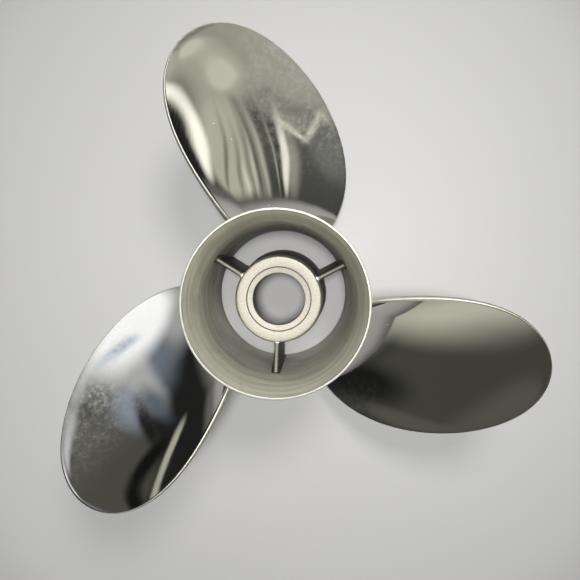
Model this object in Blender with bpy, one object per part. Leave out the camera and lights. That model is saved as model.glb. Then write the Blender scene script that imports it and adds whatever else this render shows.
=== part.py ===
"""Outboard boat propeller in cast stainless steel, with the exhaust led out through its hub.

Metres, +Z along the shaft towards the stern. The part stands on the front face of its barrel.
Three blades turn right-handed: seen from the stern it goes clockwise to drive ahead.
"""

import math

import bmesh
import bpy
from mathutils import Matrix

MM = 0.001
GAP = 0.3 * MM

# Overall sizes
BLADE_COUNT = 3
TIP_RADIUS = 184.15 * MM
PITCH = 533.4 * MM
BARREL_LENGTH = 135 * MM
ROUND_SEGMENTS = 96

# Barrel and its flared aft ring
BARREL_RADIUS = 57 * MM
BARREL_FRONT_BORE = 52.2 * MM
BARREL_AFT_BORE = 53.2 * MM
FLARE_START = 113 * MM
FLARE_STEPS = 8
RIM_RADIUS = 60.6 * MM
RIM_WALL = 1.8 * MM
FRONT_CHAMFER = 1 * MM

# Inner hub
HUB_FRONT_RADIUS = 36.3 * MM
HUB_AFT_RADIUS = 31.1 * MM
HUB_FACE_HEIGHT = 84.5 * MM
HUB_EDGE_ROUND = 2.4 * MM
HUB_EDGE_STEPS = 4
SEAT_RADIUS = 22.9 * MM
SEAT_DEPTH = 2 * MM
HOLE_RADIUS = 18.6 * MM
AFT_WALL = 10 * MM
CAVITY_FRONT_RADIUS = 31.3 * MM
CAVITY_AFT_RADIUS = 26.3 * MM

# Ribs between the inner hub and the barrel
RIB_ANGLE = math.radians(27.5)
RIB_BOTTOM = 4 * MM
RIB_TOP = 83.5 * MM
RIB_FRONT_THICKNESS = 7 * MM
RIB_AFT_THICKNESS = 3.4 * MM
RIB_EDGE_ROUND = 1.2 * MM

# Blade outline: the middle line's angle and the half width, as polynomials of the share of the
# way from the outline's own root radius to the tip
OUTLINE_ROOT_RADIUS = 55 * MM
MIDDLE_ANGLE = (-0.565, 0.0, 0.632, -0.387)
HALF_WIDTH = (32.9 * MM, 92.9 * MM, -75.8 * MM, 20.3 * MM)
TIP_FULLNESS = 2.68
TIP_CORNER = 0.3

# Blade height along the shaft
ROOT_MIDDLE_HEIGHT = 58.3 * MM
RAKE_SLOPE = 0.247
RAKE_CURVE = 0.46

# Blade section
ROOT_THICKNESS = 14 * MM
TIP_THICKNESS = 3 * MM
THICKNESS_FALL = 1.1
LEADING_EDGE = 1.6 * MM
TRAILING_EDGE = 4.2 * MM
TRAILING_EDGE_FALL = 0.6
CAMBER = 0.018
CUP = 1.6 * MM
CUP_START = 0.7

# Blade mesh
ROOT_RADIUS = BARREL_RADIUS + 1.5 * GAP
ROOT_CUTS = 3
BLADE_ROWS = 20
BLADE_COLUMNS = 20
BLADE_NAMES = ("blade_right", "blade_top", "blade_left")
RIB_NAMES = ("rib_right", "rib_left", "rib_bottom")


def clear_scene():
    """Empties the open scene."""
    for obj in list(bpy.data.objects):
        bpy.data.objects.remove(obj, do_unlink=True)


def steel(name, colour, roughness):
    """Returns a plain metal material."""
    material = bpy.data.materials.new(name)
    material.use_nodes = True
    shader = material.node_tree.nodes["Principled BSDF"]
    shader.inputs["Base Color"].default_value = (*colour, 1.0)
    shader.inputs["Metallic"].default_value = 1.0
    shader.inputs["Roughness"].default_value = roughness
    material.diffuse_color = (*colour, 1.0)
    material.metallic = 1.0
    material.roughness = roughness
    return material


def add_object(name, bm, material, parent):
    """Makes a smooth-shaded object of the bmesh and hangs it on its parent."""
    bmesh.ops.recalc_face_normals(bm, faces=bm.faces)
    if bm.calc_volume(signed=True) < 0:
        bmesh.ops.reverse_faces(bm, faces=bm.faces)
    mesh = bpy.data.meshes.new(name)
    bm.to_mesh(mesh)
    bm.free()
    mesh.shade_smooth()
    mesh.set_sharp_from_angle(angle=math.radians(35))
    mesh.materials.append(material)
    obj = bpy.data.objects.new(name, mesh)
    bpy.context.scene.collection.objects.link(obj)
    obj.parent = parent
    return obj


def polynomial(factors, x):
    """Value of the polynomial with these factors, constant first."""
    return sum(factor * x**power for power, factor in enumerate(factors))


def turned(profile):
    """Spins a closed profile of (radius, height) points once round the shaft's axis."""
    bm = bmesh.new()
    corners = [bm.verts.new((radius, 0.0, height)) for radius, height in profile]
    sides = [bm.edges.new((a, b)) for a, b in zip(corners, corners[1:] + corners[:1])]
    bmesh.ops.spin(
        bm,
        geom=corners + sides,
        cent=(0.0, 0.0, 0.0),
        axis=(0.0, 0.0, 1.0),
        angle=math.tau,
        steps=ROUND_SEGMENTS,
        use_merge=True,
    )
    return bm


def quarter_round(radius, height, size, steps):
    """Points of a convex aft outer corner, from the side to the face."""
    points = []
    for step in range(steps + 1):
        angle = math.pi / 2 * step / steps
        points.append((radius - size + size * math.cos(angle), height - size + size * math.sin(angle)))
    return points


def flare(share):
    """Outer and inner radius of the flared ring at this share of its length."""
    widening = share**1.6
    outer = BARREL_RADIUS + (RIM_RADIUS - BARREL_RADIUS) * widening
    wall = (BARREL_RADIUS - BARREL_AFT_BORE) * (1 - share) + RIM_WALL * share
    return outer, outer - wall


def make_barrel(material, parent):
    """The tube that carries the blades, up to the flare."""
    profile = [
        (BARREL_RADIUS - FRONT_CHAMFER, 0.0),
        (BARREL_RADIUS, FRONT_CHAMFER),
        (BARREL_RADIUS, FLARE_START - GAP),
        (BARREL_AFT_BORE, FLARE_START - GAP),
        (BARREL_FRONT_BORE, 0.0),
    ]
    return add_object("barrel", turned(profile), material, parent)


def make_flared_ring(material, parent):
    """The aft end of the barrel, which opens out to a thin rim."""
    shares = [step / FLARE_STEPS for step in range(FLARE_STEPS + 1)]
    length = BARREL_LENGTH - FLARE_START
    outside = [(flare(share)[0], FLARE_START + share * length) for share in shares]
    inside = [(flare(share)[1], FLARE_START + share * length) for share in reversed(shares)]
    return add_object("flared_ring", turned(outside + inside), material, parent)


def make_inner_hub(material, parent):
    """The tapered hub, open at the front, with a stepped and holed aft wall."""
    seat_height = HUB_FACE_HEIGHT - SEAT_DEPTH
    profile = [(HUB_FRONT_RADIUS, 0.0)]
    profile += quarter_round(HUB_AFT_RADIUS, HUB_FACE_HEIGHT, HUB_EDGE_ROUND, HUB_EDGE_STEPS)
    profile += [
        (SEAT_RADIUS, HUB_FACE_HEIGHT),
        (SEAT_RADIUS, seat_height),
        (HOLE_RADIUS, seat_height),
        (HOLE_RADIUS, HUB_FACE_HEIGHT - AFT_WALL),
        (CAVITY_AFT_RADIUS, HUB_FACE_HEIGHT - AFT_WALL),
        (CAVITY_FRONT_RADIUS, 0.0),
    ]
    return add_object("inner_hub", turned(profile), material, parent)


def hub_radius(height):
    """Outer radius of the inner hub at this height."""
    share = height / (HUB_FACE_HEIGHT - HUB_EDGE_ROUND)
    return HUB_FRONT_RADIUS + (HUB_AFT_RADIUS - HUB_FRONT_RADIUS) * share


def make_rib(name, angle, material, parent):
    """A web from the hub to the barrel, thicker towards the front, with a rounded aft edge."""
    bm = bmesh.new()
    bmesh.ops.create_cube(bm, size=1.0)
    outer_end = BARREL_FRONT_BORE - 1.5 * GAP
    for vert in bm.verts:
        at_top = vert.co.z > 0
        height = RIB_TOP if at_top else RIB_BOTTOM
        thickness = RIB_AFT_THICKNESS if at_top else RIB_FRONT_THICKNESS
        vert.co.x = outer_end if vert.co.x > 0 else hub_radius(height) + 1.2 * GAP
        vert.co.y *= thickness
        vert.co.z = height
    aft_edges = [
        edge
        for edge in bm.edges
        if min(vert.co.z for vert in edge.verts) > RIB_TOP - GAP and edge.verts[0].co.y * edge.verts[1].co.y > 0
    ]
    bmesh.ops.bevel(
        bm,
        geom=aft_edges,
        offset=RIB_EDGE_ROUND,
        offset_type="OFFSET",
        affect="EDGES",
        segments=3,
        profile=0.5,
        material=-1,
    )
    rib = add_object(name, bm, material, parent)
    rib.rotation_euler.z = angle
    return rib


def half_width(x):
    """Half width of the blade at this share of the way from the outline's root to the tip."""
    return polynomial(HALF_WIDTH, x) * math.sqrt(max(1 - x**TIP_FULLNESS, 0.0))


def outline_offset(u):
    """Signed half width at outline position u: 1 trailing root, 0 tip, -1 leading root."""
    return math.copysign(half_width(1 - u * u), u)


def place_in_outline(across, along):
    """Share of the way to the tip, and offset from the middle line, of a point of the blade.

    across runs from -1 at the leading edge to 1 at the trailing edge.
    along runs from 0 at the root to 1 at the tip, whose row follows the rounded outline.
    """
    root_share = (ROOT_RADIUS - OUTLINE_ROOT_RADIUS) / (TIP_RADIUS - OUTLINE_ROOT_RADIUS)
    root_u = math.sqrt(1 - root_share)
    edge_u = root_u + (TIP_CORNER - root_u) * math.sin(along * math.pi / 2)
    roundness = along**3
    x = 1 - edge_u**2 + roundness * edge_u**2 * (1 - across**2)
    offset = (1 - roundness) * across * outline_offset(edge_u) + roundness * outline_offset(across * edge_u)
    return x, offset


def section_depth(x, offset, on_suction_side):
    """How far the surface lies forward of the pitch surface that runs through the blade's edges."""
    width = half_width(x)
    at_tip = width < GAP
    share = 0.0 if at_tip else max(-1.0, min(1.0, offset / width))
    fullness = 0.0 if at_tip else 1 - share**2
    trailing_edge = TRAILING_EDGE * (1 - TRAILING_EDGE_FALL * x)
    edge = LEADING_EDGE + (trailing_edge - LEADING_EDGE) * (1 + share) / 2
    body = TIP_THICKNESS + (ROOT_THICKNESS - TIP_THICKNESS) * (1 - x) ** THICKNESS_FALL
    hollow = CAMBER * 2 * width * fullness
    cup = CUP * (1 - x) * (max(0.0, share - CUP_START) / (1 - CUP_START)) ** 2
    depth = hollow - cup - edge / 2
    if on_suction_side:
        depth += edge + max(body - edge, 0.0) * fullness
    return depth


def blade_point(across, along, on_suction_side):
    """A point of the blade's surface: on the pitch surface, moved along its section's normal."""
    x, offset = place_in_outline(across, along)
    outward = (TIP_RADIUS - OUTLINE_ROOT_RADIUS) * x
    radius = OUTLINE_ROOT_RADIUS + outward
    angle = polynomial(MIDDLE_ANGLE, x) + offset / radius
    height = ROOT_MIDDLE_HEIGHT + PITCH / math.tau * (angle - MIDDLE_ANGLE[0])
    height += RAKE_SLOPE * outward + RAKE_CURVE * outward**2
    depth = section_depth(x, offset, on_suction_side)
    pitch_angle = math.atan2(PITCH, math.tau * radius)
    angle += depth * math.sin(pitch_angle) / radius
    height -= depth * math.cos(pitch_angle)
    return radius * math.cos(angle), radius * math.sin(angle), height


def make_blade(name, angle, material, parent):
    """A skewed and raked blade, made as a grid that is extruded into two faces."""
    bm = bmesh.new()
    bmesh.ops.create_grid(bm, x_segments=BLADE_COLUMNS, y_segments=BLADE_ROWS, size=1.0)
    pressure_side = list(bm.verts)
    extruded = bmesh.ops.extrude_face_region(bm, geom=list(bm.faces), use_keep_orig=True)
    suction_side = [item for item in extruded["geom"] if isinstance(item, bmesh.types.BMVert)]
    across_root = [
        edge for edge in bm.edges if edge.calc_length() < GAP and edge.verts[0].co.y < GAP - 1
    ]
    for side, on_suction_side in ((pressure_side, False), (suction_side, True)):
        for vert in side:
            across = math.sin(vert.co.x * math.pi / 2)
            along = (vert.co.y + 1) / 2
            vert.co = blade_point(across, along, on_suction_side)

    # The root's end face is curved to follow the barrel
    cut = bmesh.ops.subdivide_edges(bm, edges=across_root, cuts=ROOT_CUTS, use_grid_fill=True)
    for vert in (item for item in cut["geom_inner"] if isinstance(item, bmesh.types.BMVert)):
        vert.co.xy *= ROOT_RADIUS / vert.co.xy.length
    bm.transform(Matrix.Rotation(angle, 4, "Z"))
    return add_object(name, bm, material, parent)


def main():
    clear_scene()
    polished = steel("polished_steel", (0.62, 0.61, 0.59), 0.06)
    satin = steel("satin_steel", (0.58, 0.56, 0.52), 0.32)
    cast = steel("cast_steel", (0.72, 0.69, 0.62), 0.5)
    propeller = bpy.data.objects.new("propeller", None)
    bpy.context.scene.collection.objects.link(propeller)
    make_barrel(satin, propeller)
    make_flared_ring(satin, propeller)
    make_inner_hub(cast, propeller)
    step = math.tau / BLADE_COUNT
    for index, name in enumerate(RIB_NAMES):
        make_rib(name, RIB_ANGLE + index * step, cast, propeller)
    for index, name in enumerate(BLADE_NAMES):
        make_blade(name, index * step, polished, propeller)


if __name__ == "__main__":
    main()
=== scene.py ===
"""Outboard boat propeller in cast stainless steel.

The blades and the barrel are mirror-polished, the bore is satin, and the hub and ribs are blasted.
Metres, +Z along the shaft towards the stern. The propeller stands on the front face of its barrel.
"""

import math

import bmesh
import bpy
from bpy.props import FloatProperty, FloatVectorProperty, IntProperty, PointerProperty
from bpy.types import Operator, Panel, PropertyGroup
from mathutils import Matrix, Vector


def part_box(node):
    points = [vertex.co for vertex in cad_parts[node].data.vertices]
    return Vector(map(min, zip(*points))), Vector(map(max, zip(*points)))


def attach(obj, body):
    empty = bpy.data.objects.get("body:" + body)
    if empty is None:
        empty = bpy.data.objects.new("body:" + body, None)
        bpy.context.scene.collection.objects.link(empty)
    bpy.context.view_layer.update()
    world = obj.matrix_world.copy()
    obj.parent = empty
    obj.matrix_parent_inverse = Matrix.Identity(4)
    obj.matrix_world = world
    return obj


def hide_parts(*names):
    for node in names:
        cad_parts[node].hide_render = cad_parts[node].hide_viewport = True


bl_info = {
    "name": "Boat propeller",
    "version": (1, 0, 0),
    "blender": (4, 5, 0),
    "location": "3D View > Sidebar > Propeller",
    "description": "Finished pieces of a cast stainless steel outboard propeller",
    "category": "Add Mesh",
}

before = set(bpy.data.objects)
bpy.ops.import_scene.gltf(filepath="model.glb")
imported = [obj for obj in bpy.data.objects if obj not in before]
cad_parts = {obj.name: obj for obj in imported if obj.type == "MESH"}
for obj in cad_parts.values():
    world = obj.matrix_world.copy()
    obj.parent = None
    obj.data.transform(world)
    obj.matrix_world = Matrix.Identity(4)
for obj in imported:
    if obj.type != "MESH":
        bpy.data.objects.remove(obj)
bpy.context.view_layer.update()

MM = 0.001
MERGE_DISTANCE = 0.001 * MM
BODY = "root"

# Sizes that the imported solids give
_, BARREL_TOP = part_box("flared_ring")
_, HUB_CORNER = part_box("inner_hub")

# Blades, as in the part's source
BLADE_NODES = ("blade_right", "blade_top", "blade_left")
TIP_RADIUS = 184.15 * MM
PITCH = 533.4 * MM
OUTLINE_ROOT_RADIUS = 55 * MM
MIDDLE_ANGLE = (-0.565, 0.0, 0.632, -0.387)
HALF_WIDTH = (32.9 * MM, 92.9 * MM, -75.8 * MM, 20.3 * MM)
EDGE_BULGE = 0.3
TIP_FULLNESS = 2.68
ROOT_MIDDLE_HEIGHT = 58.3 * MM
RAKE_SLOPE = 0.247
RAKE_CURVE = 0.46
ROOT_THICKNESS = 14 * MM
TIP_THICKNESS = 3 * MM
THICKNESS_FALL = 1.1
LEADING_EDGE = 1.6 * MM
TRAILING_EDGE = 4.2 * MM
TRAILING_EDGE_FALL = 0.6
CAMBER = 0.018
CUP = 1.6 * MM
CUP_START = 0.7
TIP_CORNER = 0.42
# A section that is narrower than this counts as the point of the tip
NARROW = 0.3 * MM

# Places in a blade's grid: how near a limit counts as on it, and the step sideways and the place
# inside the outline by which an edge point finds the way outward
GRID_MARGIN = 0.001
BESIDE_STEP = 0.002
INSIDE = 0.97

# The polished edges are full rounds, so the faces end a little inside the outline
FACE_TIP_RADIUS = TIP_RADIUS - 0.55 * MM
FACE_HALF_WIDTH = (HALF_WIDTH[0] - 0.8 * MM, *HALF_WIDTH[1:])
LIP = 0.25 * MM
LIP_START = 0.78

# Turn of the haze round the shaft, which puts it beside the leading edges
HAZE_TURN = math.radians(225)

# Root fillets: the turn where they meet the barrel, how far they sink into its wall, and how near
# its front face they may come
FILLET_TURN = math.radians(83)
FILLET_DIP = 0.25 * MM
FILLET_FRONT_MARGIN = 1.2 * MM

# Barrel, flare and hub, as in the part's source
BARREL_RADIUS = 57 * MM
BARREL_FRONT_BORE = 52.2 * MM
BARREL_AFT_BORE = 53.2 * MM
FLARE_START = 113 * MM
FLARE_LENGTH = BARREL_TOP.z - FLARE_START
RIM_WALL = 1.8 * MM
FLARE_POWER = 1.6
HUB_FRONT_RADIUS = 36.3 * MM
HUB_AFT_RADIUS = 31.1 * MM
SEAT_RADIUS = 22.9 * MM
SEAT_DEPTH = 2 * MM
HOLE_RADIUS = 18.6 * MM
AFT_WALL = 10 * MM
CAVITY_FRONT_RADIUS = 31.3 * MM
CAVITY_AFT_RADIUS = 26.3 * MM

# Finer barrel and hub: the chamfer at the end of the hub's cavity, and the rows of faces up the
# barrel's straight part, up its flare and up the hub
CAVITY_CHAMFER = 2 * MM
WALL_HEIGHTS = [height * MM for height in range(8, 113, 7)]
FLARE_STEPS = 22
HUB_STEPS = 12

# Ribs, as in the part's source
RIB_NODES = ("rib_right", "rib_left", "rib_bottom")
RIB_ANGLE = math.radians(27.5)
RIB_BOTTOM = 4 * MM
RIB_TOP = 83.5 * MM
RIB_FRONT_THICKNESS = 7 * MM
RIB_AFT_THICKNESS = 3.4 * MM

# Finer ribs: points round a section, the roundness of its ends (1 is a half circle, less is squarer),
# how far a rib runs into the walls, and the sections up its fillet as shares of the fillet's radius
RIB_SEGMENTS = 32
RIB_ROUNDNESS = 0.75
RIB_SINK = 2.4 * MM
RIB_FILLET_SHARES = (0.06, 0.2, 0.42, 0.7, 1.0)

# Heights where the painted shade deep in the exhaust passages ends
HUB_SHADE_LINE = 82 * MM
RIB_SHADE_LINE = 97 * MM
BORE_SHADE_LINE = 52 * MM
# The bore's painted shade reaches higher on its +Y side, which faces away from the lamps: its rise for
# each metre that way
SHADE_SLOPE = 0.45

# Floor: radius, depth below the propeller, sides, and the radii between which painted shade darkens it
FLOOR_RADIUS = 0.52
FLOOR_DEPTH = 0.2 * MM
FLOOR_SEGMENTS = 128
FLOOR_SHADE_START = 0.3
FLOOR_SHADE_END = 0.49

# Camera, fitted to the rim, the hub and the blade outlines
CAMERA_PLACE = (0.0197, 0.0279, 0.514)
CAMERA_LOOK = (-0.0164, -0.0328, -0.9993)
CAMERA_ANGLE = math.radians(51.01)
CAMERA_SHIFT = (-0.0114, -0.0179)
CAMERA_CLIP = 10 * MM


def polynomial(factors, x):
    """Value of the polynomial with these factors, constant first."""
    return sum(factor * x**power for power, factor in enumerate(factors))


def between(start, end, share):
    """Value at this share of the way from start to end."""
    return start + (end - start) * share


def rounded(corner, start, end, steps):
    """Points of a quarter round in a right-angled corner; start and end are given from the corner."""
    points = []
    for step in range(steps + 1):
        angle = math.pi / 2 * step / steps
        to_start, to_end = 1 - math.sin(angle), 1 - math.cos(angle)
        points.append(tuple(c + a * to_start + b * to_end for c, a, b in zip(corner, start, end)))
    return points


def bore_radius(height):
    """Radius of the barrel's bore at this height, below the flare."""
    return between(BARREL_FRONT_BORE, BARREL_AFT_BORE, height / FLARE_START)


def flare(share):
    """Outer radius and wall thickness of the barrel at this share of the way up its flare."""
    outer = between(BARREL_RADIUS, BARREL_TOP.x, share**FLARE_POWER)
    return outer, between(BARREL_RADIUS - BARREL_AFT_BORE, RIM_WALL, share)


def hub_radius(height, taper_end):
    """Outer radius of the hub at this height of its taper."""
    return between(HUB_FRONT_RADIUS, HUB_AFT_RADIUS, height / taper_end)


def concave_run(distance, radius):
    """How far a fillet of this radius stands out, at this distance from the wall that it meets."""
    if distance >= radius:
        return 0.0
    if distance <= 0:
        return radius
    return radius - math.sqrt(radius**2 - (radius - distance) ** 2)


def extruded(bm, faces):
    """Extrudes a patch and its edges, so that none of it stays inside; returns the new faces and verts."""
    patch = set(faces)
    for face in faces:
        patch.update(face.edges)
        patch.update(face.verts)
    moved = bmesh.ops.extrude_face_region(bm, geom=list(patch))["geom"]
    new_faces = [item for item in moved if isinstance(item, bmesh.types.BMFace)]
    new_verts = [item for item in moved if isinstance(item, bmesh.types.BMVert)]
    return new_faces, new_verts


def turned(profile, segments):
    """Spins a closed profile of (radius, height) points once round the shaft's axis."""
    bm = bmesh.new()
    corners = [bm.verts.new((radius, 0.0, height)) for radius, height in profile]
    sides = [bm.edges.new((a, b)) for a, b in zip(corners, corners[1:] + corners[:1])]
    bmesh.ops.spin(
        bm,
        geom=corners + sides,
        cent=(0.0, 0.0, 0.0),
        axis=(0.0, 0.0, 1.0),
        angle=math.tau,
        steps=segments,
        use_merge=True,
    )
    return bm


def finished_piece(name, bm, materials, replaced, sharp_angle):
    """Turns the bmesh into a smooth-shaded piece that stands for its CAD nodes."""
    bmesh.ops.remove_doubles(bm, verts=bm.verts, dist=MERGE_DISTANCE)
    bmesh.ops.recalc_face_normals(bm, faces=bm.faces)
    if bm.calc_volume(signed=True) < 0:
        bmesh.ops.reverse_faces(bm, faces=bm.faces)
    mesh = bpy.data.meshes.new(name)
    bm.to_mesh(mesh)
    bm.free()
    mesh.shade_smooth()
    mesh.set_sharp_from_angle(angle=sharp_angle)
    for material in materials:
        mesh.materials.append(material)
    piece = bpy.data.objects.new(name, mesh)
    bpy.context.scene.collection.objects.link(piece)
    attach(piece, BODY)
    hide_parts(*replaced)
    return piece


# Blade shape


def half_width(x):
    """Half width of the blade's faces at this share of the way from the outline's root to the tip."""
    return polynomial(FACE_HALF_WIDTH, x) * math.sqrt(max(1 - x**TIP_FULLNESS, 0.0))


def outline_offset(u):
    """Signed half width at outline position u: 1 trailing root, 0 tip, -1 leading root."""
    return math.copysign(half_width(1 - u * u), u)


def place_in_outline(across, along, root_radius):
    """Share of the way to the tip, and offset from the middle line, of a point of the blade."""
    root_share = (root_radius - OUTLINE_ROOT_RADIUS) / (FACE_TIP_RADIUS - OUTLINE_ROOT_RADIUS)
    root_u = math.sqrt(1 - root_share)
    edge_u = root_u + (TIP_CORNER - root_u) * math.sin(along * math.pi / 2)
    roundness = along**3
    x = 1 - edge_u**2 + roundness * edge_u**2 * (1 - across**2)
    straight = across * outline_offset(edge_u)
    curved = outline_offset(across * edge_u)
    return x, (1 - roundness) * straight + roundness * curved


def section_depth(x, offset, on_suction_side):
    """How far the surface lies forward of the pitch surface that runs through the blade's edges."""
    width = half_width(x)
    at_tip = width < NARROW
    share = 0.0 if at_tip else max(-1.0, min(1.0, offset / width))
    fullness = 0.0 if at_tip else 1 - share**2
    trailing_edge = TRAILING_EDGE * (1 - TRAILING_EDGE_FALL * x)
    edge = LEADING_EDGE + (trailing_edge - LEADING_EDGE) * (1 + share) / 2
    body = TIP_THICKNESS + (ROOT_THICKNESS - TIP_THICKNESS) * (1 - x) ** THICKNESS_FALL
    hollow = CAMBER * 2 * width * fullness
    cup = CUP * (1 - x) * (max(0.0, share - CUP_START) / (1 - CUP_START)) ** 2
    closeness = (offset / polynomial(FACE_HALF_WIDTH, x)) ** 2 + x**TIP_FULLNESS
    lip = LIP * x**3 * (max(0.0, closeness - LIP_START) / (1 - LIP_START)) ** 2
    depth = hollow - cup - lip - edge / 2
    if on_suction_side:
        depth += edge + max(body - edge, 0.0) * fullness
    return depth


def face_point(across, along, on_suction_side, root_radius):
    """A point of a blade's face: on the pitch surface, moved along its section's normal."""
    x, offset = place_in_outline(across, along, root_radius)
    outward = (FACE_TIP_RADIUS - OUTLINE_ROOT_RADIUS) * x
    radius = OUTLINE_ROOT_RADIUS + outward
    angle = polynomial(MIDDLE_ANGLE, x) + offset / radius
    height = ROOT_MIDDLE_HEIGHT + PITCH / math.tau * (angle - MIDDLE_ANGLE[0])
    height += RAKE_SLOPE * outward + RAKE_CURVE * outward**2
    depth = section_depth(x, offset, on_suction_side)
    pitch_angle = math.atan2(PITCH, math.tau * radius)
    angle += depth * math.sin(pitch_angle) / radius
    height -= depth * math.cos(pitch_angle)
    return Vector((radius * math.cos(angle), radius * math.sin(angle), height))


def edge_point(across, along, through, root_radius):
    """A point of the blade's rounded edge; through is 0 at the pressure face, 1 at the suction face."""
    pressure = face_point(across, along, False, root_radius)
    suction = face_point(across, along, True, root_radius)
    if along > 1 - BESIDE_STEP:
        beside = face_point(across - math.copysign(BESIDE_STEP, across), along, False, root_radius)
    else:
        beside = face_point(across, along + BESIDE_STEP, False, root_radius)
    within = face_point(across * INSIDE, min(along, INSIDE), False, root_radius)
    thickness = suction - pressure
    outward = (beside - pressure).cross(thickness).normalized()
    if outward.dot(pressure - within) < 0:
        outward.negate()
    turn = math.pi * through
    bulge = outward * EDGE_BULGE * thickness.length * math.sin(turn)
    return pressure + thickness * (1 - math.cos(turn)) / 2 + bulge


def angle_and_height(point):
    """Angle round the shaft and height of a point, as a flat vector."""
    return Vector((math.atan2(point.y, point.x), point.z))


def root_loop(bm, end_faces):
    """The vertices round the blade's open root end, in order."""
    ends = set(end_faces)
    edges = [edge for face in ends for edge in face.edges]
    border = [edge for edge in edges if sum(face in ends for face in edge.link_faces) == 1]
    neighbours = {}
    for edge in border:
        for a, b in (edge.verts, reversed(edge.verts)):
            neighbours.setdefault(a, []).append(b)
    first = border[0].verts[0]
    loop = [first, neighbours[first][0]]
    while True:
        one, other = neighbours[loop[-1]]
        following = other if one is loop[-2] else one
        if following is first:
            return loop
        loop.append(following)


def add_root_fillet(bm, end_faces, start_radius, fillet, steps):
    """Runs the blade's root down on the barrel in a concave fillet, and a little into its wall."""
    loop = root_loop(bm, end_faces)
    in_loop = set(loop)
    places, leans = [], []
    for vert in loop:
        nearby = (edge.other_vert(vert) for edge in vert.link_edges)
        inner = next(other for other in nearby if other not in in_loop)
        here, there = angle_and_height(vert.co), angle_and_height(inner.co)
        places.append(here)
        leans.append((here - there) / (inner.co.xy.length - vert.co.xy.length))
    flat = [Vector((place.x * start_radius, place.y)) for place in places]
    area = sum(a.cross(b) for a, b in zip(flat, flat[1:] + flat[:1]))
    outwards = []
    for index, place in enumerate(flat):
        before = (place - flat[index - 1]).normalized()
        after = (flat[(index + 1) % len(flat)] - place).normalized()
        along = (before + after).normalized()
        outward = Vector((along.y, -along.x))
        outwards.append(outward if area > 0 else -outward)
    ring = bm.verts.layers.int["ring"]
    for index, vert in enumerate(loop):
        vert[ring] = index
    rows = []
    for step in range(1, steps + 1):
        turn = FILLET_TURN * step / steps
        rows.append((BARREL_RADIUS + fillet * (1 - math.sin(turn)), fillet * (1 - math.cos(turn))))
    full_run = rows[-1][1] + FILLET_DIP * math.tan(FILLET_TURN)
    rows.append((rows[-1][0] - FILLET_DIP, full_run))

    # Where the barrel's front face is near, the fillet stands out less
    reaches = []
    for place, lean, outward in zip(places, leans, outwards):
        room = place.y + lean.y * (start_radius - rows[-1][0]) - FILLET_FRONT_MARGIN
        reaches.append(min(1.0, room / (full_run * max(-outward.y, 0.01))))
    for radius, run_out in rows:
        end_faces, end_verts = extruded(bm, end_faces)
        for vert in end_verts:
            index = vert[ring]
            place = places[index] + leans[index] * (start_radius - radius)
            run = reaches[index] * run_out
            angle = place.x + outwards[index].x * run / radius
            height = place.y + outwards[index].y * run
            vert.co = (radius * math.cos(angle), radius * math.sin(angle), height)


def blade_mesh(sizes):
    """One blade: a grid extruded into two faces, with full-round edges and a filleted root."""
    start_radius = BARREL_RADIUS + sizes.root_fillet
    bm = bmesh.new()
    bm.verts.layers.int.new("ring")
    bmesh.ops.create_grid(bm, x_segments=sizes.columns, y_segments=sizes.rows, size=1.0)
    suction_side = extruded(bm, list(bm.faces))[1]
    bmesh.ops.translate(bm, verts=suction_side, vec=(0.0, 0.0, 1.0))

    # While the blade is a flat box, its walls are cut for the rounding and its root end is found
    almost = 1 - GRID_MARGIN
    through = []
    for edge in bm.edges:
        a, b = (vert.co for vert in edge.verts)
        inside_root = a.y < -almost and abs(a.x) < almost
        if abs(a.z - b.z) > almost and not inside_root:
            through.append(edge)
    bmesh.ops.subdivide_edges(bm, edges=through, cuts=sizes.edge_cuts, use_grid_fill=True)
    end_faces = [face for face in bm.faces if all(vert.co.y < -almost for vert in face.verts)]
    for face in bm.faces:
        depth = face.calc_center_median().z
        face.material_index = int(GRID_MARGIN < depth < almost and face not in end_faces)
    for vert in bm.verts:
        across, along, depth = vert.co.x, (vert.co.y + 1) / 2, vert.co.z
        if GRID_MARGIN < depth < almost:
            vert.co = edge_point(across, along, depth, start_radius)
        else:
            vert.co = face_point(across, along, depth > almost, start_radius)
    add_root_fillet(bm, end_faces, start_radius, sizes.root_fillet, sizes.fillet_steps)
    return bm


# Rib shape


def rib_point(turn, at_barrel, station, fillet, taper_end):
    """A point round a rib's section, at this distance from the barrel's wall or from the hub's."""
    run_out = concave_run(station, fillet)
    at_top = math.sin(turn) >= 0
    half = (RIB_AFT_THICKNESS if at_top else RIB_FRONT_THICKNESS) / 2
    sideways = math.copysign(abs(math.cos(turn)) ** RIB_ROUNDNESS, math.cos(turn))
    upward = math.copysign(abs(math.sin(turn)) ** RIB_ROUNDNESS, math.sin(turn))
    across = sideways * (half + run_out)
    height = RIB_TOP - half if at_top else RIB_BOTTOM + half
    if at_barrel:
        height += upward * (half + run_out)
        radius = bore_radius(height) - station
    else:
        height += upward * half
        radius = hub_radius(height, taper_end) + station
    return (math.sqrt(radius**2 - across**2), across, height)


def rib_mesh(sizes):
    """One rib: a ring of points extruded section by section, with a fillet at each end."""
    fillet = sizes.rib_fillet
    taper_end = HUB_CORNER.z - sizes.edge_round
    stations = [-RIB_SINK, 0.0] + [fillet * share for share in RIB_FILLET_SHARES]
    sections = [(False, station) for station in stations]
    sections += [(True, station) for station in reversed(stations)]
    bm = bmesh.new()
    bmesh.ops.create_circle(bm, cap_ends=True, segments=RIB_SEGMENTS, radius=1.0)
    ring = bm.verts.layers.int.new("ring")
    turns = []
    for index, vert in enumerate(bm.verts):
        vert[ring] = index
        turns.append(math.atan2(vert.co.y, vert.co.x))
    end_faces, end_verts = list(bm.faces), list(bm.verts)
    for number, (at_barrel, station) in enumerate(sections):
        if number > 0:
            end_faces, end_verts = extruded(bm, end_faces)
        for vert in end_verts:
            vert.co = rib_point(turns[vert[ring]], at_barrel, station, fillet, taper_end)
    return bm


# Materials


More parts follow.
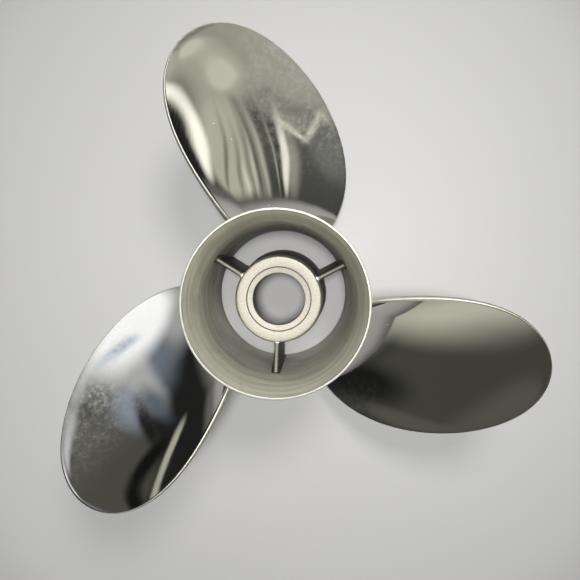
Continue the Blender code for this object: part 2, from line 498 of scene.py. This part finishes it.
class Value:
    """A socket that adds its Math nodes when it is used in an expression."""

    def __init__(self, nodes, socket):
        self.nodes = nodes
        self.socket = socket

    def math(self, operation, *others):
        """This value, and any others, through a Math node."""
        return self.nodes.math(operation, self, *others)

    def __add__(self, other):
        return self.nodes.math("ADD", self, other)

    def __radd__(self, other):
        return self.nodes.math("ADD", other, self)

    def __sub__(self, other):
        return self.nodes.math("SUBTRACT", self, other)

    def __rsub__(self, other):
        return self.nodes.math("SUBTRACT", other, self)

    def __mul__(self, other):
        return self.nodes.math("MULTIPLY", self, other)

    def __rmul__(self, other):
        return self.nodes.math("MULTIPLY", other, self)

    def __lt__(self, other):
        return self.nodes.math("LESS_THAN", self, other)


class Nodes:
    """A node tree and the calls that add nodes to it."""

    def __init__(self, owner):
        owner.use_nodes = True
        self.tree = owner.node_tree

    def node(self, kind, settings=None, inputs=None, output=0):
        """Adds a node, sets it first, then fills its sockets with values or links."""
        node = self.tree.nodes.new(kind)
        for key, value in (settings or {}).items():
            setattr(node, key, value)
        for key, value in (inputs or {}).items():
            self.fill(node.inputs[key], value)
        return Value(self, node.outputs[output])

    def fill(self, socket, value):
        """Puts a value or a link into a socket."""
        if isinstance(value, Value):
            self.tree.links.new(value.socket, socket)
        else:
            socket.default_value = value

    def math(self, operation, *terms):
        """A Math node on these values."""
        return self.node("ShaderNodeMath", {"operation": operation}, dict(enumerate(terms)))

    def mask(self, value, low, high):
        """A soft step from 0 at low to 1 at high."""
        return self.node(
            "ShaderNodeMapRange",
            {"interpolation_type": "SMOOTHSTEP"},
            {"Value": value, "From Min": low, "From Max": high},
        )

    def length(self, vector):
        """Length of a vector."""
        return self.node("ShaderNodeVectorMath", {"operation": "LENGTH"}, {0: vector}, output="Value")

    def blend(self, factor, one, other):
        """A colour between two colours; the Mix node's colour sockets are found by number."""
        return self.node("ShaderNodeMix", {"data_type": "RGBA"}, {0: factor, 6: one, 7: other}, output=2)


class Finish(Nodes):
    """A finish of the object's surface, with patterns in its own coordinates."""

    def __init__(self, name):
        self.material = bpy.data.materials.new(name)
        super().__init__(self.material)
        self.shader = self.tree.nodes["Principled BSDF"]
        self.shader.inputs["Metallic"].default_value = 1.0
        self.place = self.node("ShaderNodeTexCoord", output="Object")

    def stretched(self, scale):
        """Coordinates that are stretched by a Mapping node."""
        return self.node("ShaderNodeMapping", None, {"Vector": self.place, "Scale": scale})

    def coordinate(self, axis):
        """One coordinate, in metres: X, Y, or Z along the shaft's axis."""
        return self.node("ShaderNodeSeparateXYZ", None, {"Vector": self.place}, output=axis)

    def noise(self, scale, detail=2.0, roughness=0.5, distortion=0.0, place=None):
        """Noise from 0 to 1, with this many cells a metre."""
        return self.node(
            "ShaderNodeTexNoise",
            None,
            {
                "Vector": place or self.place,
                "Scale": scale,
                "Detail": detail,
                "Roughness": roughness,
                "Distortion": distortion,
            },
        )

    def specks(self, scale, size, share):
        """Sparse small dots, in this share of the pattern's cells."""
        cells = {"Vector": self.place, "Scale": scale}
        near = self.node("ShaderNodeTexVoronoi", None, cells, output="Distance")
        chance = self.node("ShaderNodeTexVoronoi", None, cells, output="Color")
        chosen = self.node("ShaderNodeSeparateColor", None, {"Color": chance})
        return (near < size) * (chosen < share)

    def from_axis(self):
        """Distance from the shaft's axis, in metres."""
        across = (1.0, 1.0, 0.0)
        flat = self.node("ShaderNodeVectorMath", {"operation": "MULTIPLY"}, {0: self.place, 1: across})
        return self.length(flat)

    def surface(self, colour, roughness, height, bump_distance):
        """Connects the finish's colour, roughness and relief."""
        self.fill(self.shader.inputs["Base Color"], colour)
        self.fill(self.shader.inputs["Roughness"], roughness)
        relief = self.node("ShaderNodeBump", None, {"Height": height, "Distance": bump_distance})
        self.fill(self.shader.inputs["Normal"], relief)
        return self.material


def opaque(colour, brightness=1.0):
    """The colour as four numbers."""
    return tuple(channel * brightness for channel in colour) + (1.0,)


def mirror_polish(name, finishes):
    """Hand-polished steel: slow waves, haze by the leading edges, buffing lines and a little dust."""
    finish = Finish(name)
    waves = finish.noise(scale=8.0, detail=1.0, distortion=0.5)
    dents = finish.noise(scale=24.0, detail=1.0, roughness=0.35, distortion=0.6)
    towards_tip = finish.mask(finish.from_axis(), 75 * MM, 150 * MM)
    x, y = finish.coordinate("X"), finish.coordinate("Y")
    by_leading_edge = (y.math("ARCTAN2", x) * len(BLADE_NODES) - HAZE_TURN).math("COSINE")
    patches = finish.mask(finish.noise(scale=16.0, detail=4.0, roughness=0.6, distortion=0.6), 0.36, 0.6)
    # The blade on the +X side is cleaner than the others
    not_on_right = 1 - finish.mask(x, 40 * MM, 90 * MM)
    worn = finish.mask(by_leading_edge, -0.1, 0.9) * towards_tip * not_on_right
    scratches = finish.noise(scale=260.0, detail=5.0, roughness=0.7, distortion=0.4)
    haze = worn * patches * (0.35 + 0.65 * finish.mask(scratches, 0.42, 0.66))
    lines = finish.noise(scale=60.0, detail=3.0, place=finish.stretched((20.0, 1.0, 6.0)))
    dust = finish.specks(scale=95.0, size=0.04, share=0.3)
    tone = finish.mask(finish.noise(scale=9.0, detail=3.0, distortion=0.8), 0.35, 0.7)
    colour = finish.blend(tone, opaque(finishes.polished, 0.92), opaque(finishes.polished))
    colour = finish.blend(0.35 * haze, colour, opaque(finishes.dust, 0.9))
    colour = finish.blend(dust, colour, opaque(finishes.dust))
    finish.fill(finish.shader.inputs["Metallic"], 1 - 0.25 * haze - 0.8 * dust)
    roughness = 0.035 + 0.16 * haze + 0.03 * finish.mask(lines, 0.45, 0.7) + 0.45 * dust
    relief = 0.25 * waves + 0.1 * dents + 0.002 * scratches * haze + 0.003 * lines
    return finish.surface(colour, roughness, relief, 1.2 * MM)


def ground_edge(name, finishes, brightness):
    """Ground and lightly buffed steel of the edges and the rim; a brightness below 1 gives a darker copy
    with painted shade.
    """
    finish = Finish(name)
    lines = finish.noise(scale=240.0, detail=3.0)
    tone = finish.mask(lines, 0.3, 0.7)
    dark, light = opaque(finishes.edge, 0.9 * brightness), opaque(finishes.edge, brightness)
    colour = finish.blend(tone, dark, light)
    return finish.surface(colour, 0.46 + 0.1 * tone, lines, 0.02 * MM)


def satin_bore(name, finishes):
    """Ground steel of the bore: rings from the wheel, soft stains, fine grain, and painted shade in the
    depth and on its +Y side.
    """
    finish = Finish(name)
    rings = finish.noise(scale=24.0, detail=5.0, roughness=0.7, place=finish.stretched((0.5, 0.5, 16.0)))
    wide_rings = finish.noise(scale=7.0, detail=2.0, place=finish.stretched((0.6, 0.6, 9.0)))
    stains = finish.mask(finish.noise(scale=26.0, detail=4.0, distortion=1.0), 0.42, 0.75)
    grain = finish.noise(scale=1100.0, detail=3.0)
    ring_mask = finish.mask(0.7 * rings + 0.3 * wide_rings, 0.38, 0.62)
    colour = finish.blend(ring_mask, opaque(finishes.satin, 0.78), opaque(finishes.satin, 1.08))
    colour = finish.blend(0.3 * stains, colour, opaque(finishes.stain))
    # Painted shade: the bore darkens deeper down, and higher up its +Y side, which the lamps light least
    uneven = 12 * MM * (wide_rings - 0.5)
    height = finish.coordinate("Z") - SHADE_SLOPE * finish.coordinate("Y") + uneven
    painted_shade = 1 - finish.mask(height, 0.0, BORE_SHADE_LINE)
    colour = finish.blend(0.85 * painted_shade, colour, opaque(finishes.painted_shade))
    roughness = 0.48 + 0.12 * ring_mask + 0.08 * stains
    finish.fill(finish.shader.inputs["Metallic"], 0.8)
    relief = rings + 0.5 * wide_rings + 0.1 * grain
    return finish.surface(colour, roughness, relief, 0.16 * MM)


def blasted_casting(name, finishes, shade_line):
    """Blasted casting: fine grain, painted shade in the corner of the recessed seat, and painted shade
    that darkens it below a height.
    """
    finish = Finish(name)
    grain = finish.noise(scale=900.0, detail=3.0, roughness=0.6)
    pits = finish.mask(finish.noise(scale=420.0, detail=2.0), 0.62, 0.74)
    cloud = finish.noise(scale=55.0, detail=3.0)
    radius, height = finish.from_axis(), finish.coordinate("Z")
    # Painted shade in the corner of the recessed seat
    off_corner = (radius - (SEAT_RADIUS - 0.15 * MM)).math("ABSOLUTE")
    seat_corner_shade = 1 - finish.mask(off_corner, 0.25 * MM, 0.6 * MM)
    dark, light = opaque(finishes.cast, 0.78), opaque(finishes.cast, 1.08)
    colour = finish.blend(finish.mask(grain, 0.3, 0.7), dark, light)
    colour = finish.blend(0.25 * cloud, colour, opaque(finishes.stain))
    colour = finish.blend(0.35 * pits, colour, opaque(finishes.stain, 0.7))
    colour = finish.blend(0.5 * seat_corner_shade, colour, opaque(finishes.stain, 0.35))
    # Painted shade: below a height, deep in the exhaust passages, the casting darkens to near black
    painted_shade = 1 - finish.mask(height, shade_line - 26 * MM, shade_line)
    colour = finish.blend(0.96 * painted_shade, colour, opaque(finishes.painted_shade))
    # The hub's aft edge is rubbed bright; the mask leaves out the ribs, which reach further out
    outer_round = finish.mask(radius, HUB_AFT_RADIUS - 2.2 * MM, HUB_AFT_RADIUS - 1.4 * MM)
    outer_round = outer_round * finish.mask(height, 76 * MM, 81 * MM)
    outer_round = outer_round * (1 - finish.mask(radius, HUB_AFT_RADIUS, HUB_AFT_RADIUS + 0.6 * MM))
    colour = finish.blend(0.75 * outer_round, colour, opaque(finishes.satin, 0.8))
    roughness = 0.5 + 0.12 * grain - 0.16 * outer_round
    relief = grain + 0.5 * cloud - 0.6 * pits
    return finish.surface(colour, roughness, relief, 0.07 * MM)


def pale_floor(name, finishes):
    """Plain matt studio floor, with painted shade that darkens it towards its rim."""
    finish = Finish(name)
    finish.shader.inputs["Metallic"].default_value = 0.0
    cloud = finish.noise(scale=3.0, detail=2.0)
    colour = finish.blend(cloud, opaque(finishes.floor, 0.97), opaque(finishes.floor))
    # Painted shade: the floor darkens towards its rim, so that the mirrors show it darker there
    rim_shade = finish.mask(finish.from_axis(), FLOOR_SHADE_START, FLOOR_SHADE_END)
    colour = finish.blend(rim_shade, colour, opaque(finishes.floor, 0.5))
    return finish.surface(colour, 0.6 + 0.05 * cloud, finish.noise(scale=900.0), 0.01 * MM)


# Room and lamps

WARM = (0.99, 0.995, 0.83)
PALE = (1.0, 1.0, 0.9)
OLIVE = (0.93, 0.98, 0.86)
COOL = (0.96, 0.98, 1.0)
BLUE = (0.66, 0.78, 0.96)

# Soft oval fields of light in the room, each painted over the ones before it: azimuth and elevation
# of its middle, half width and half height, and its turn, all in degrees, then the share of its size
# over which it fades, its tint and its brightness
LIGHT_FIELDS = (
    # ceiling
    ((0, 90), (1000, 34), 0, 0.35, COOL, 0.25),
    # what the top blade mirrors
    ((-16, 45), (42, 18), 0, 0.2, WARM, 0.47),
    ((-31, 7), (17, 23), 0, 0.25, OLIVE, 0.1),
    ((-37, 21), (12, 9), 0, 0.5, OLIVE, 0.2),
    ((-18, 28), (10, 5), 12, 0.3, WARM, 0.3),
    ((11, 9), (9.5, 24), 20, 0.3, WARM, 0.7),
    ((19.6, 13), (1.6, 18), 23, 0.6, PALE, 1.7),
    ((14.5, 8), (0.7, 15), 24, 0.8, WARM, 0.3),
    ((10.5, 5), (0.9, 14), 17, 0.8, WARM, 0.38),
    ((7.5, 6), (0.9, 17), 14, 0.8, WARM, 1.0),
    ((1.5, 6), (5.5, 20), 6, 0.35, WARM, 0.34),
    ((4.2, 4), (0.9, 14), 9, 0.8, WARM, 0.75),
    ((1.6, 9), (0.7, 16), 6, 0.8, OLIVE, 0.15),
    ((-1.4, 9), (1.0, 18), 4, 0.7, WARM, 0.62),
    ((-5.9, 8), (3.3, 20), 3, 0.35, OLIVE, 0.1),
    ((-7.6, 13), (0.45, 16), 3, 0.6, WARM, 0.5),
    ((-15.5, 10), (3.5, 15), 5, 0.7, WARM, 0.42),
    ((-12.2, 11), (1.7, 15), 7, 0.5, PALE, 1.3),
    ((-19, 23), (6, 0.9), 21, 0.5, WARM, 1.1),
    ((-29, 25.7), (7.5, 0.8), -41, 0.5, WARM, 1.1),
    ((-37, 30.3), (4, 0.7), 0, 0.5, WARM, 1.0),
    ((-2.6, 34.3), (8.4, 3.6), -27, 0.35, WARM, 0.62),
    ((-1.8, 33.8), (5.8, 2.3), -27, 0.3, WARM, 0.86),
    # what the left blade mirrors
    ((95, 6), (20, 12), -10, 0.5, COOL, 0.6),
    ((114, 16), (13, 9), -30, 0.8, BLUE, 0.33),
    ((118, 43), (42, 17), -20, 0.2, WARM, 0.11),
    ((93, 42), (7, 3), 0, 0.5, COOL, 0.45),
    ((97, 44.5), (8, 1.8), -15, 0.5, COOL, 0.85),
    ((112, 24.5), (20, 5), -29, 0.5, COOL, 0.65),
    ((121, 27), (9, 3), -22, 0.7, BLUE, 0.5),
    ((128, 18), (9, 2.5), -29, 0.8, BLUE, 0.25),
    ((130, 22.5), (9, 1.8), -10, 0.6, OLIVE, 0.02),
    ((89, 25), (19, 14), -22, 0.35, COOL, 1.65),
    ((96, 30), (2.5, 6), 20, 0.8, BLUE, 0.9),
    ((139, 25), (2.0, 9), 18, 0.5, OLIVE, 0.012),
    ((144.7, 15.5), (1.6, 7), -12, 0.5, WARM, 0.65),
    # what the right blade mirrors
    ((-122, 22), (36, 28), 0, 0.3, WARM, 0.085),
    ((-142, 3), (13, 14), 0, 0.5, OLIVE, 0.015),
    ((-132, 37), (22, 5), 0, 0.6, WARM, 0.14),
    ((-150, 26), (5, 10), 0, 0.5, WARM, 0.13),
    # below the floor's level
    ((0, -90), (1000, 83), 0, 0.05, OLIVE, 0.2),
    # the right blade's light patch, which goes down to the floor's edge
    ((-96, 2), (11, 23), 0, 0.9, WARM, 0.78),
)
# Over how many degrees the edges of the fields wander
FIELD_SWAY = 2.5
ROOM_COLOUR = (0.022, 0.023, 0.022)
BACKDROP_COLOUR = (0.14, 0.141, 0.138)

# Lamps: azimuth and elevation in degrees, distance and width in metres, spread in degrees, power in
# watts and colour
LAMPS = {
    "overhead_light": (75, 87, 1.5, 0.2, 80, 2.7, (1.0, 0.99, 0.97)),
    "key_light": (68, 62, 1.2, 0.35, 60, 0.7, (1.0, 0.98, 0.93)),
}


def soft_room(name):
    """A dim room with soft light fields that the steel mirrors; seen directly, it is plain grey."""
    world = bpy.data.worlds.new(name)
    room = Nodes(world)
    towards = room.node("ShaderNodeTexCoord", output="Generated")
    parts = {"Vector": towards}
    x, y, z = (room.node("ShaderNodeSeparateXYZ", None, parts, output=axis) for axis in "XYZ")
    cloud = {"Vector": towards, "Scale": 2.0, "Detail": 1.0}
    wander = room.node("ShaderNodeTexNoise", None, cloud, output="Color")
    sideways = room.node("ShaderNodeSeparateColor", None, {"Color": wander}, output="Red")
    upwards = room.node("ShaderNodeSeparateColor", None, {"Color": wander}, output="Green")
    azimuth = y.math("ARCTAN2", x) * math.degrees(1) + (sideways - 0.5) * FIELD_SWAY
    elevation = z.math("ARCSINE") * math.degrees(1) + (upwards - 0.5) * FIELD_SWAY
    colour = opaque(ROOM_COLOUR)
    place = room.node("ShaderNodeCombineXYZ", None, {"X": azimuth, "Y": elevation})
    for middle, half_sizes, turn, soft, tint, brightness in LIGHT_FIELDS:
        oval = {
            "Vector": place,
            "Location": (*middle, 0.0),
            "Rotation": (0.0, 0.0, math.radians(turn)),
            "Scale": (*half_sizes, 1.0),
        }
        distance = room.length(room.node("ShaderNodeMapping", {"vector_type": "TEXTURE"}, oval))
        inside = 1 - room.mask(distance, 1 - soft, 1 + soft)
        colour = room.blend(inside, colour, opaque(tint, brightness))
    seen_directly = room.node("ShaderNodeLightPath", output="Is Camera Ray")
    colour = room.blend(seen_directly, colour, opaque(BACKDROP_COLOUR))
    room.fill(room.tree.nodes["Background"].inputs["Color"], colour)
    return world


def add_floor(scene):
    """A round floor just below the propeller."""
    bm = bmesh.new()
    bmesh.ops.create_circle(bm, cap_ends=True, segments=FLOOR_SEGMENTS, radius=FLOOR_RADIUS)
    bmesh.ops.translate(bm, verts=bm.verts, vec=(0.0, 0.0, -FLOOR_DEPTH))
    mesh = bpy.data.meshes.new("floor")
    bm.to_mesh(mesh)
    bm.free()
    mesh.materials.append(pale_floor("pale_floor", scene.propeller.finishes))
    floor = bpy.data.objects.new("floor", mesh)
    scene.collection.objects.link(floor)


def add_lamp(scene, name, azimuth, elevation, distance, width, spread, power, tint):
    """A round lamp that points at the foot of the shaft's axis."""
    lamp = bpy.data.lights.new(name, "AREA")
    lamp.shape = "DISK"
    lamp.size = width
    lamp.spread = math.radians(spread)
    lamp.energy = power
    lamp.color = tint
    holder = bpy.data.objects.new(name, lamp)
    turn, rise = math.radians(azimuth), math.radians(elevation)
    flat = math.cos(rise)
    towards = Vector((math.cos(turn) * flat, math.sin(turn) * flat, math.sin(rise)))
    holder.location = towards * distance
    holder.rotation_euler = towards.to_track_quat("Z", "Y").to_euler()
    scene.collection.objects.link(holder)


def add_camera(scene):
    """The camera, in the place and with the lens shift that were fitted to the photo."""
    camera = bpy.data.cameras.new("camera")
    camera.angle = CAMERA_ANGLE
    camera.shift_x, camera.shift_y = CAMERA_SHIFT
    camera.clip_start = CAMERA_CLIP
    holder = bpy.data.objects.new("camera", camera)
    look = Vector(CAMERA_LOOK).normalized()
    right = look.cross(Vector((0.0, 1.0, 0.0))).normalized()
    up = right.cross(look)
    turn = Matrix((right, up, -look)).transposed().to_4x4()
    holder.matrix_world = Matrix.Translation(CAMERA_PLACE) @ turn
    scene.collection.objects.link(holder)
    scene.camera = holder


# Sizes and colours that can be changed


class BladeSizes(PropertyGroup):
    root_fillet: FloatProperty(
        name="Root fillet",
        description="Radius of the fillet between blade and barrel",
        default=7 * MM,
        unit="LENGTH",
    )
    columns: IntProperty(name="Columns", description="Faces across a blade", default=96)
    rows: IntProperty(name="Rows", description="Faces from root to tip", default=84)
    edge_cuts: IntProperty(name="Edge cuts", description="Cuts through an edge's thickness", default=7)
    fillet_steps: IntProperty(name="Fillet steps", description="Faces down the root fillet", default=14)


class BarrelSizes(PropertyGroup):
    rim_round: FloatProperty(
        name="Rim round",
        description="Rounding of the thin aft rim",
        default=0.4 * MM,
        unit="LENGTH",
    )
    front_round: FloatProperty(
        name="Front round",
        description="Rounding of the front corners",
        default=0.9 * MM,
        unit="LENGTH",
    )
    segments: IntProperty(name="Segments", description="Faces round the barrel and the hub", default=192)


class HubSizes(PropertyGroup):
    edge_round: FloatProperty(
        name="Edge round",
        description="Rounding of the hub's aft edge",
        default=2.4 * MM,
        unit="LENGTH",
    )
    small_round: FloatProperty(
        name="Small round",
        description="Rounding of the hub's other edges",
        default=0.35 * MM,
        unit="LENGTH",
    )
    rib_fillet: FloatProperty(
        name="Rib fillet",
        description="Fillet where a rib meets hub and barrel",
        default=1.6 * MM,
        unit="LENGTH",
    )


class Finishes(PropertyGroup):
    polished: FloatVectorProperty(
        name="Polished steel",
        description="Mirror-polished steel",
        default=(0.62, 0.61, 0.59),
        subtype="COLOR",
    )
    satin: FloatVectorProperty(
        name="Satin steel",
        description="Ground bore of the barrel",
        default=(0.86, 0.85, 0.75),
        subtype="COLOR",
    )
    cast: FloatVectorProperty(
        name="Cast steel",
        description="Blasted casting",
        default=(0.36, 0.345, 0.305),
        subtype="COLOR",
    )
    stain: FloatVectorProperty(
        name="Stain",
        description="Stains on the steel",
        default=(0.3, 0.27, 0.22),
        subtype="COLOR",
    )
    # Near-black colour of the painted shade deep in the exhaust passages
    painted_shade: FloatVectorProperty(
        name="Shade",
        description="Soot in the exhaust passages",
        default=(0.025, 0.024, 0.021),
        subtype="COLOR",
    )
    edge: FloatVectorProperty(
        name="Ground edge",
        description="Ground edges and rim",
        default=(0.56, 0.555, 0.5),
        subtype="COLOR",
    )
    dust: FloatVectorProperty(
        name="Dust",
        description="Dust and haze on the polish",
        default=(0.8, 0.79, 0.76),
        subtype="COLOR",
    )
    floor: FloatVectorProperty(
        name="Floor",
        description="Studio floor",
        default=(0.55, 0.55, 0.55),
        subtype="COLOR",
    )


class PropellerSettings(PropertyGroup):
    blades: PointerProperty(type=BladeSizes)
    barrel: PointerProperty(type=BarrelSizes)
    hub: PointerProperty(type=HubSizes)
    finishes: PointerProperty(type=Finishes)


# Operators


class PROPELLER_OT_barrel(Operator):
    """Barrel with its flared ring, polished outside and satin inside"""

    bl_idname = "propeller.barrel"
    bl_label = "Barrel"

    def execute(self, context):
        settings = context.scene.propeller
        sizes = settings.barrel
        bm = turned(self.profile(sizes), sizes.segments)
        for face in bm.faces:
            face.material_index = self.finish_at(face.calc_center_median(), sizes.rim_round)
        materials = [
            mirror_polish("mirror_polished_barrel", settings.finishes),
            satin_bore("satin_bore", settings.finishes),
            # The rim is a darker copy of the blades' ground edge: painted shade on its top
            ground_edge("ground_rim_painted_shade", settings.finishes, brightness=0.66),
        ]
        finished_piece(
            "polished_barrel", bm, materials, ("barrel", "flared_ring"), math.radians(60)
        )
        return {"FINISHED"}

    def profile(self, sizes):
        """Outline of the barrel's wall: up the outside, over the rim and down the bore."""
        small, reach = sizes.front_round, sizes.rim_round
        outside = rounded((BARREL_RADIUS, 0.0), (-small, 0.0), (0.0, small), steps=5)
        outside += [(BARREL_RADIUS, height) for height in WALL_HEIGHTS]
        inside = [(bore_radius(height), height) for height in WALL_HEIGHTS]
        for step in range(FLARE_STEPS):
            share = step / FLARE_STEPS * (1 - reach / FLARE_LENGTH)
            outer, wall = flare(share)
            height = FLARE_START + share * FLARE_LENGTH
            outside.append((outer, height))
            inside.append((outer - wall, height))
        outer, wall = flare(1 - reach / FLARE_LENGTH)
        top, rim_outer, rim_inner = BARREL_TOP.z, BARREL_TOP.x, BARREL_TOP.x - RIM_WALL
        rim = rounded((rim_outer, top), (outer - rim_outer, -reach), (-reach, 0.0), steps=6)
        rim += rounded((rim_inner, top), (reach, 0.0), (outer - wall - rim_inner, -reach), steps=6)
        front = rounded((BARREL_FRONT_BORE, 0.0), (0.0, small), (small, 0.0), steps=4)
        return outside + rim + inside[::-1] + front

    def finish_at(self, middle, rim_round):
        """Finish of the face with this middle: 0 polished outside, 1 satin inside, 2 ground rim."""
        if middle.z > BARREL_TOP.z - rim_round:
            return 2
        outer, wall = flare(max(0.0, (middle.z - FLARE_START) / FLARE_LENGTH))
        return int(middle.xy.length < outer - wall / 2)


class PROPELLER_OT_hub(Operator):
    """Inner hub with its recessed seat, hole and cavity"""

    bl_idname = "propeller.hub"
    bl_label = "Inner hub"

    def execute(self, context):
        settings = context.scene.propeller
        small, large = settings.hub.small_round, settings.hub.edge_round
        face = HUB_CORNER.z
        seat, wall_end, taper_end = face - SEAT_DEPTH, face - AFT_WALL, face - large
        profile = rounded((HUB_FRONT_RADIUS, 0.0), (-small, 0.0), (0.0, small), steps=3)
        for step in range(1, HUB_STEPS):
            height = taper_end * step / HUB_STEPS
            profile.append((hub_radius(height, taper_end), height))
        profile += rounded((HUB_AFT_RADIUS, face), (0.0, -large), (-large, 0.0), steps=10)
        profile += rounded((SEAT_RADIUS, face), (small, 0.0), (0.0, -small), steps=4)
        profile += rounded((SEAT_RADIUS, seat), (0.0, small), (-small, 0.0), steps=4)
        profile += rounded((HOLE_RADIUS, seat), (small, 0.0), (0.0, -small), steps=4)
        profile += rounded((HOLE_RADIUS, wall_end), (0.0, small), (small, 0.0), steps=3)
        profile.append((CAVITY_AFT_RADIUS - CAVITY_CHAMFER, wall_end))
        profile.append((CAVITY_AFT_RADIUS, wall_end - CAVITY_CHAMFER))
        profile += rounded((CAVITY_FRONT_RADIUS, 0.0), (0.0, small), (small, 0.0), steps=3)
        bm = turned(profile, settings.barrel.segments)
        materials = [blasted_casting("blasted_hub", settings.finishes, HUB_SHADE_LINE)]
        finished_piece("blasted_hub", bm, materials, ("inner_hub",), math.radians(40))
        return {"FINISHED"}


class PROPELLER_OT_ribs(Operator):
    """Three ribs from the hub to the barrel, with rounded edges and filleted ends"""

    bl_idname = "propeller.ribs"
    bl_label = "Ribs"

    def execute(self, context):
        settings = context.scene.propeller
        material = blasted_casting("blasted_ribs", settings.finishes, RIB_SHADE_LINE)
        for number, node in enumerate(RIB_NODES):
            bm = rib_mesh(settings.hub)
            bm.transform(Matrix.Rotation(RIB_ANGLE + number * math.tau / len(RIB_NODES), 4, "Z"))
            finished_piece("blasted_" + node, bm, [material], (node,), math.radians(50))
        return {"FINISHED"}


class PROPELLER_OT_blades(Operator):
    """Three mirror-polished blades with rounded edges and root fillets"""

    bl_idname = "propeller.blades"
    bl_label = "Blades"

    def execute(self, context):
        settings = context.scene.propeller
        materials = [
            mirror_polish("mirror_polished_blades", settings.finishes),
            ground_edge("ground_blade_edges", settings.finishes, brightness=1.0),
        ]
        for number, node in enumerate(BLADE_NODES):
            bm = blade_mesh(settings.blades)
            bm.transform(Matrix.Rotation(number * math.tau / len(BLADE_NODES), 4, "Z"))
            name = "polished_" + node
            finished_piece(name, bm, materials, (node,), math.radians(60))
        return {"FINISHED"}


class PROPELLER_OT_stage(Operator):
    """Floor, lamps, room and camera"""

    bl_idname = "propeller.stage"
    bl_label = "Stage"

    def execute(self, context):
        scene = context.scene
        add_floor(scene)
        for name, values in LAMPS.items():
            add_lamp(scene, name, *values)
        scene.world = soft_room("soft_room")
        scene.view_settings.view_transform = "Standard"
        add_camera(scene)
        return {"FINISHED"}


class PROPELLER_PT_panel(Panel):
    """Lists the steps that make the propeller, with its sizes and colours"""

    bl_idname = "PROPELLER_PT_panel"
    bl_label = "Propeller"
    bl_space_type = "VIEW_3D"
    bl_region_type = "UI"
    bl_category = "Propeller"

    def draw(self, context):
        for step in STEPS:
            self.layout.operator(step.bl_idname)
        for group in ("blades", "barrel", "hub", "finishes"):
            settings = getattr(context.scene.propeller, group)
            for name in settings.bl_rna.properties.keys():
                if name not in ("rna_type", "name"):
                    self.layout.prop(settings, name)


STEPS = (
    PROPELLER_OT_barrel,
    PROPELLER_OT_hub,
    PROPELLER_OT_ribs,
    PROPELLER_OT_blades,
    PROPELLER_OT_stage,
)
CLASSES = (BladeSizes, BarrelSizes, HubSizes, Finishes, PropellerSettings, *STEPS, PROPELLER_PT_panel)


def register():
    for cls in CLASSES:
        bpy.utils.register_class(cls)
    bpy.types.Scene.propeller = PointerProperty(type=PropellerSettings)


def unregister():
    del bpy.types.Scene.propeller
    for cls in reversed(CLASSES):
        bpy.utils.unregister_class(cls)


def main():
    register()
    bpy.ops.propeller.barrel()
    bpy.ops.propeller.hub()
    bpy.ops.propeller.ribs()
    bpy.ops.propeller.blades()
    bpy.ops.propeller.stage()


if __name__ == "__main__":
    main()
